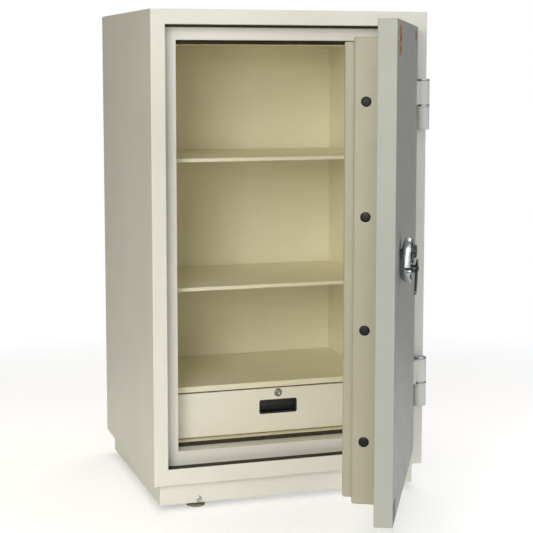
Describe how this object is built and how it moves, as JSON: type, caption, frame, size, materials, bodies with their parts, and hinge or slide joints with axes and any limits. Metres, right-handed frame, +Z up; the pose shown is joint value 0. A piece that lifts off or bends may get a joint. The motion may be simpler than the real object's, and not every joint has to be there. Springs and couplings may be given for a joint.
{
  "type": "fire-resistant document safe",
  "caption": "Tall fire-resistant document safe standing open, with a stepped plug door, sliding bolts, shelves, a lockable drawer and a plinth.",
  "frame": {"origin": "on the floor under the middle of the body's front face", "axes": "+Z up, the front faces -Y, +X to the right seen from the front"},
  "size_m": [0.7, 1.1673, 1.209],
  "materials": {
    "body_paint": "fine-textured satin powder coat, warm cream",
    "liner_paint": "satin enamel, deeper cream",
    "hinge_paint": "satin powder coat over welded steel",
    "fire_fill": "dry cast, chalky",
    "black_seal": "matt black seal strip",
    "zinc_steel": "bright zinc plate",
    "chrome": "polished chrome plate",
    "dark_steel": "oiled dark steel",
    "black_enamel": "gloss black enamel",
    "black_plastic": "moulded black plastic",
    "grey_foot": "grey moulded plastic on a zinc stem",
    "nylon_wheel": "hard nylon",
    "badge_red": "printed film under gloss, no lettering",
    "plate_grey": "dark anodised"
  },
  "bodies": {
    "cabinet": {"outer_shell": "body_paint", "back_panel": "body_paint", "recess_seal": "black_seal", "door_frame": "body_paint", "throat_seal": "black_seal", "inner_liner": "liner_paint", "frame_core": "fire_fill", "insulation_top_bottom": "fire_fill", "insulation_sides": "fire_fill", "insulation_back": "fire_fill", "frame_plugs": "liner_paint", "sill_cap": "liner_paint", "plinth": "body_paint", "plinth_screws": "zinc_steel", "foot_brackets": "zinc_steel", "caster_brackets": "zinc_steel", "caster_axles": "zinc_steel", "body_hinge_lower": "hinge_paint", "body_hinge_upper": "hinge_paint", "hinge_pins": "chrome", "hinge_washers": "chrome", "shelf_lower": "liner_paint", "shelf_upper": "liner_paint", "shelf_clips": "zinc_steel", "drawer_housing": "liner_paint", "drawer_runners": "zinc_steel"},
    "door": {"door_outer_pan": "body_paint", "door_fire_core": "fire_fill", "door_back_plate": "liner_paint", "door_plug": "liner_paint", "inner_cover": "liner_paint", "cover_board": "fire_fill", "door_hinge_lower": "hinge_paint", "door_hinge_upper": "hinge_paint", "spindle_sleeve": "zinc_steel", "bolt_guides": "zinc_steel", "lock_housing": "chrome", "lock_case": "zinc_steel", "door_badge": "badge_red", "rating_plate": "plate_grey", "small_label": "badge_red"},
    "lever": {"lever_handle": "black_enamel", "lever_spindle": "zinc_steel", "drive_crank": "zinc_steel"},
    "dial": {"lock_dial": "black_enamel"},
    "bolts": {"bolt_bar": "zinc_steel", "locking_bolts": "dark_steel"},
    "drawer": {"drawer_front": "liner_paint", "drawer_tray": "liner_paint", "drawer_slides": "zinc_steel", "drawer_pull": "black_plastic", "lock_barrel": "chrome"},
    "drawer_lock": {"drawer_lock_plug": "chrome"},
    "foot_left": {"levelling_foot_left": "grey_foot"},
    "foot_right": {"levelling_foot_right": "grey_foot"},
    "wheel_front_left": {"caster_wheel_front_left": "nylon_wheel"},
    "wheel_front_right": {"caster_wheel_front_right": "nylon_wheel"},
    "wheel_rear_left": {"caster_wheel_rear_left": "nylon_wheel"},
    "wheel_rear_right": {"caster_wheel_rear_right": "nylon_wheel"}
  },
  "joints": [
    {"name": "door_swing", "type": "hinge", "parent": "cabinet", "child": "door", "pos_m": [0.331, -0.02, 0.226], "axis": [0, 0, 1], "range_deg": [-62.5, 117.5]},
    {"name": "lever_turn", "type": "hinge", "parent": "door", "child": "lever", "pos_m": [0.08256, -0.47127, 0.646], "axis": [-0.887, 0.4617, 0], "range_deg": [0, 45]},
    {"name": "bolts_slide", "type": "slide", "parent": "door", "child": "bolts", "axis": [-0.4617, -0.887, 0], "range_m": [0, 0.022]},
    {"name": "dial_spin", "type": "hinge", "parent": "door", "child": "dial", "pos_m": [0.08256, -0.47127, 0.6835], "axis": [0.887, -0.4617, 0], "continuous": true},
    {"name": "drawer_slide", "type": "slide", "parent": "cabinet", "child": "drawer", "axis": [0, -1, 0], "range_m": [0, 0.13]},
    {"name": "drawer_lock_turn", "type": "hinge", "parent": "drawer", "child": "drawer_lock", "pos_m": [0, 0.113, 0.2515], "axis": [0, -1, 0], "range_deg": [0, 90]},
    {"name": "foot_left_turn", "type": "hinge", "parent": "cabinet", "child": "foot_left", "pos_m": [-0.235, 0.05, 0], "axis": [0, 0, 1], "continuous": true},
    {"name": "foot_right_turn", "type": "hinge", "parent": "cabinet", "child": "foot_right", "pos_m": [0.235, 0.05, 0], "axis": [0, 0, 1], "continuous": true},
    {"name": "wheel_front_left_roll", "type": "hinge", "parent": "cabinet", "child": "wheel_front_left", "pos_m": [-0.268, 0.116, 0.0275], "axis": [-1, 0, 0], "continuous": true},
    {"name": "wheel_front_right_roll", "type": "hinge", "parent": "cabinet", "child": "wheel_front_right", "pos_m": [0.268, 0.116, 0.0275], "axis": [-1, 0, 0], "continuous": true},
    {"name": "wheel_rear_left_roll", "type": "hinge", "parent": "cabinet", "child": "wheel_rear_left", "pos_m": [-0.268, 0.505, 0.026], "axis": [-1, 0, 0], "continuous": true},
    {"name": "wheel_rear_right_roll", "type": "hinge", "parent": "cabinet", "child": "wheel_rear_right", "pos_m": [0.268, 0.505, 0.026], "axis": [-1, 0, 0], "continuous": true}
  ],
  "couplings": [
    {"joint": "lever_turn", "follows": "bolts_slide", "rad_per_m": 35.7}
  ]
}
